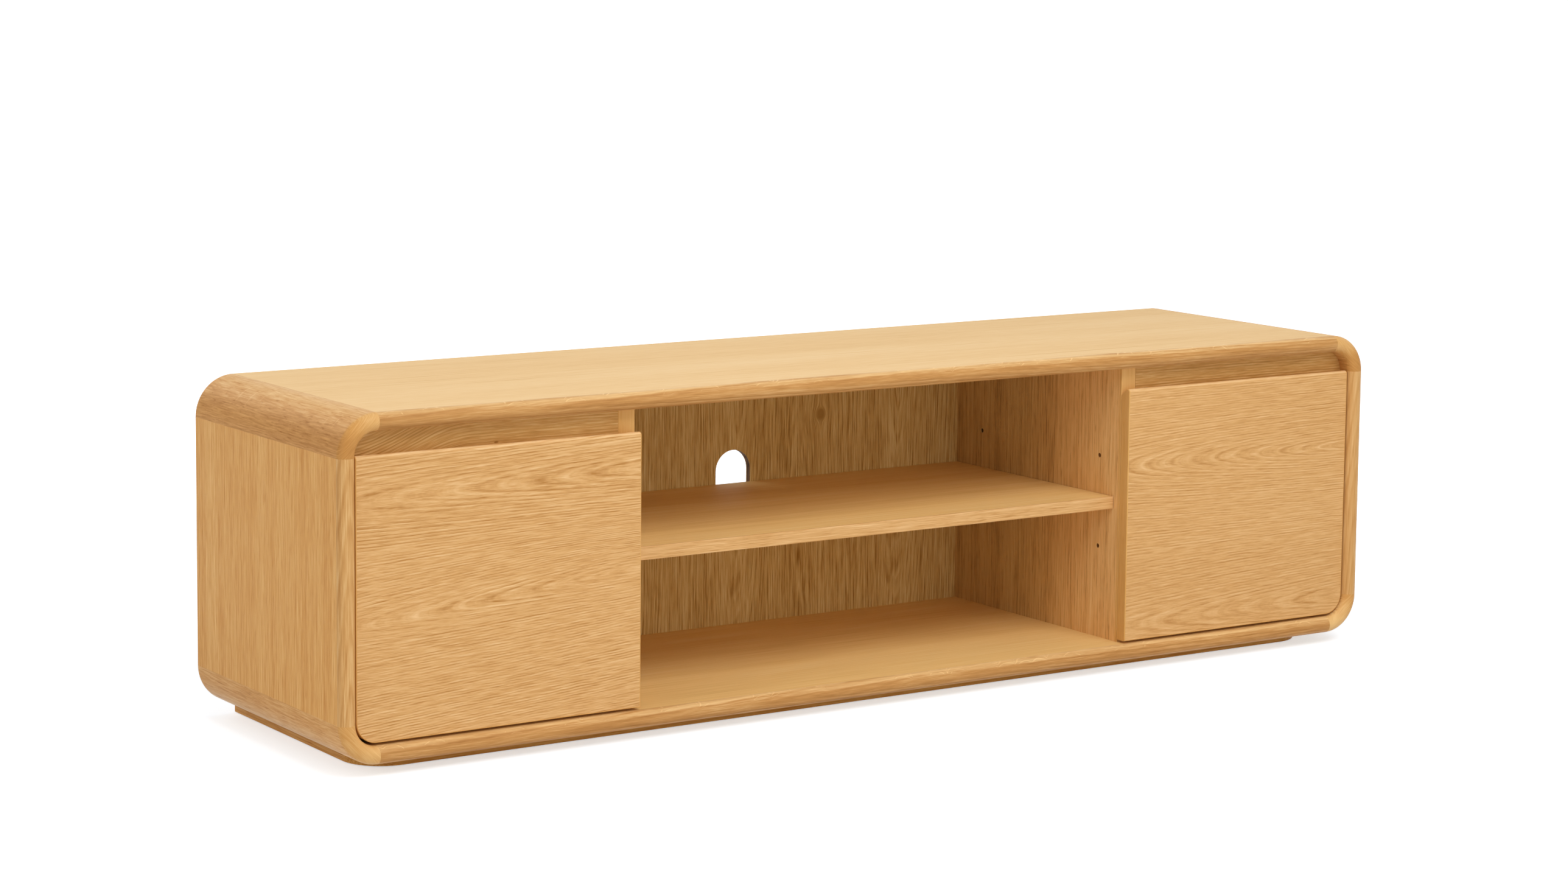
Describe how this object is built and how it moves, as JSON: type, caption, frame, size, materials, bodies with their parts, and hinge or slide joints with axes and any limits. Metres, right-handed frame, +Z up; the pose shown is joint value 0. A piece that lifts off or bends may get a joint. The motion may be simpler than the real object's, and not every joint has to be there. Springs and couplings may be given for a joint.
{
  "type": "media cabinet",
  "caption": "Low wide oak media cabinet with rounded carcass corners, two hinged doors, an open middle bay with a shelf and cable slot, and a recessed plinth.",
  "frame": {"origin": "on the floor, under the middle of the cabinet", "axes": "+X to the right of a person facing the doors, +Y from the doors to the back, +Z up"},
  "size_m": [1.8, 0.45, 0.49],
  "materials": {
    "oak_top": "pale oiled oak veneer, straight fine grain",
    "oak_bottom": "oiled oak veneer",
    "oak_side": "oiled oak veneer, upright rift grain",
    "oak_corner": "solid oiled oak with ray flecks",
    "oak_front_edge": "solid oiled oak with ray flecks",
    "oak_divider": "oiled oak veneer, upright grain",
    "oak_rail": "oiled oak, level grain",
    "oak_back": "oiled oak veneer, coarse upright grain",
    "oak_shelf": "oiled oak veneer",
    "oak_plinth": "oiled oak",
    "oak_door": "warm oiled oak, level grain with cathedral figure",
    "plywood": "birch plywood",
    "beech_dowel": "beech",
    "nickel_pin": "nickel plated",
    "nickel_hinge": "nickel plated pressed steel",
    "zinc_screw": "zinc plated",
    "felt": "brown felt",
    "bumper": "soft translucent dot"
  },
  "bodies": {
    "cabinet": {"top_panel": "oak_top", "bottom_panel": "oak_bottom", "right_side_panel": "oak_side", "left_side_panel": "oak_side", "top_right_corner": "oak_corner", "top_left_corner": "oak_corner", "bottom_right_corner": "oak_corner", "bottom_left_corner": "oak_corner", "top_front_edge": "oak_front_edge", "bottom_front_edge": "oak_front_edge", "right_front_edge": "oak_front_edge", "left_front_edge": "oak_front_edge", "right_divider": "oak_divider", "left_divider": "oak_divider", "right_divider_edging": "oak_divider", "left_divider_edging": "oak_divider", "right_top_rail": "oak_rail", "left_top_rail": "oak_rail", "right_back_panel": "oak_back", "left_back_panel": "oak_back", "center_back_panel": "oak_back", "corner_tongues": "plywood", "carcass_dowels": "beech_dowel", "back_panel_screws": "zinc_screw", "center_shelf": "oak_shelf", "center_shelf_edging": "oak_shelf", "right_shelf": "oak_shelf", "right_shelf_edging": "oak_shelf", "left_shelf": "oak_shelf", "left_shelf_edging": "oak_shelf", "shelf_pins": "nickel_pin", "plinth_front_rail": "oak_plinth", "plinth_back_rail": "oak_plinth", "plinth_right_rail": "oak_plinth", "plinth_left_rail": "oak_plinth", "plinth_right_corner": "oak_plinth", "plinth_left_corner": "oak_plinth", "plinth_cross_rails": "oak_plinth", "plinth_screws": "zinc_screw", "floor_glides": "felt", "hinge_plates": "nickel_hinge", "hinge_arms": "nickel_hinge", "hinge_plate_screws": "zinc_screw"},
    "left_door": {"left_door_panel": "oak_door", "left_door_lipping": "oak_door", "left_door_edging": "oak_door", "left_door_bumpers": "bumper", "left_hinge_cups": "nickel_hinge", "left_cup_screws": "zinc_screw"},
    "left_inner_link": {"left_inner_links": "nickel_hinge"},
    "left_outer_link": {"left_outer_links": "nickel_hinge"},
    "right_door": {"right_door_panel": "oak_door", "right_door_lipping": "oak_door", "right_door_edging": "oak_door", "right_door_bumpers": "bumper", "right_hinge_cups": "nickel_hinge", "right_cup_screws": "zinc_screw"},
    "right_inner_link": {"right_inner_links": "nickel_hinge"},
    "right_outer_link": {"right_outer_links": "nickel_hinge"}
  },
  "joints": [
    {"name": "left_door_hinge", "type": "hinge", "parent": "cabinet", "child": "left_door", "pos_m": [-0.873, -0.215, 0.24], "axis": [0, 0, -1], "range_deg": [0, 100]},
    {"name": "left_inner_link_hinge", "type": "hinge", "parent": "cabinet", "child": "left_inner_link", "pos_m": [-0.873, -0.215, 0.24], "axis": [0, 0, -1], "range_deg": [0, 40]},
    {"name": "left_outer_link_hinge", "type": "hinge", "parent": "cabinet", "child": "left_outer_link", "pos_m": [-0.873, -0.215, 0.24], "axis": [0, 0, -1], "range_deg": [0, 80]},
    {"name": "right_door_hinge", "type": "hinge", "parent": "cabinet", "child": "right_door", "pos_m": [0.873, -0.215, 0.24], "axis": [0, 0, 1], "range_deg": [0, 100]},
    {"name": "right_inner_link_hinge", "type": "hinge", "parent": "cabinet", "child": "right_inner_link", "pos_m": [0.873, -0.215, 0.24], "axis": [0, 0, 1], "range_deg": [0, 40]},
    {"name": "right_outer_link_hinge", "type": "hinge", "parent": "cabinet", "child": "right_outer_link", "pos_m": [0.873, -0.215, 0.24], "axis": [0, 0, 1], "range_deg": [0, 80]}
  ],
  "couplings": [
    {"joint": "left_inner_link_hinge", "follows": "left_door_hinge", "ratio": 0.4},
    {"joint": "left_outer_link_hinge", "follows": "left_door_hinge", "ratio": 0.8},
    {"joint": "right_inner_link_hinge", "follows": "right_door_hinge", "ratio": 0.4},
    {"joint": "right_outer_link_hinge", "follows": "right_door_hinge", "ratio": 0.8}
  ]
}
